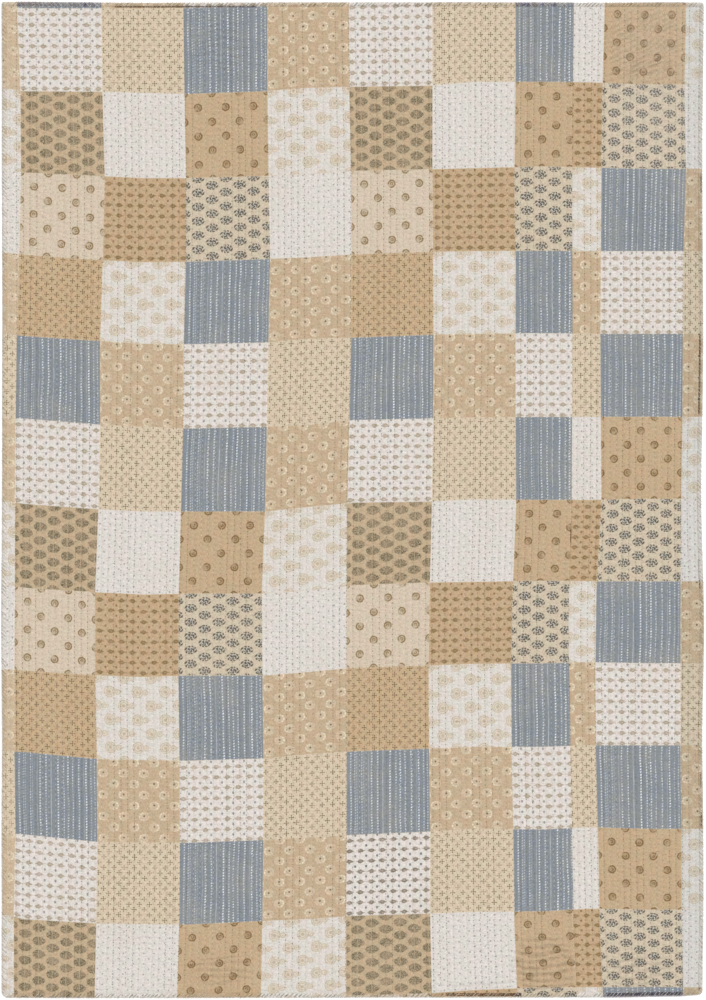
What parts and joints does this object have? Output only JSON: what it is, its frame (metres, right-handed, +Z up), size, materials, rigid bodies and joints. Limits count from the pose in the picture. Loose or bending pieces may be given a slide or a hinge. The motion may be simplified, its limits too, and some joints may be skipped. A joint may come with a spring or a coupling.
{
  "type": "kantha quilt",
  "caption": "Flat patchwork-print cotton quilt in sewn widths, hand-stitched through in close rows, with an overcast rolled rim.",
  "frame": {"origin": "on the floor under the middle of the quilt", "axes": "+Y along the length towards the head end, +X across, with the narrow width at +X, +Z up out of the face"},
  "size_m": [1.2699, 1.8, 0.0039],
  "materials": {
    "printed_cotton": "matt quilted cotton, printed in tan, cream, white and grey-blue squares",
    "thread": "matt cotton sewing thread"
  },
  "bodies": {
    "root": {"panel_wide": "printed_cotton", "panel_narrow": "printed_cotton"}
  },
  "joints": []
}
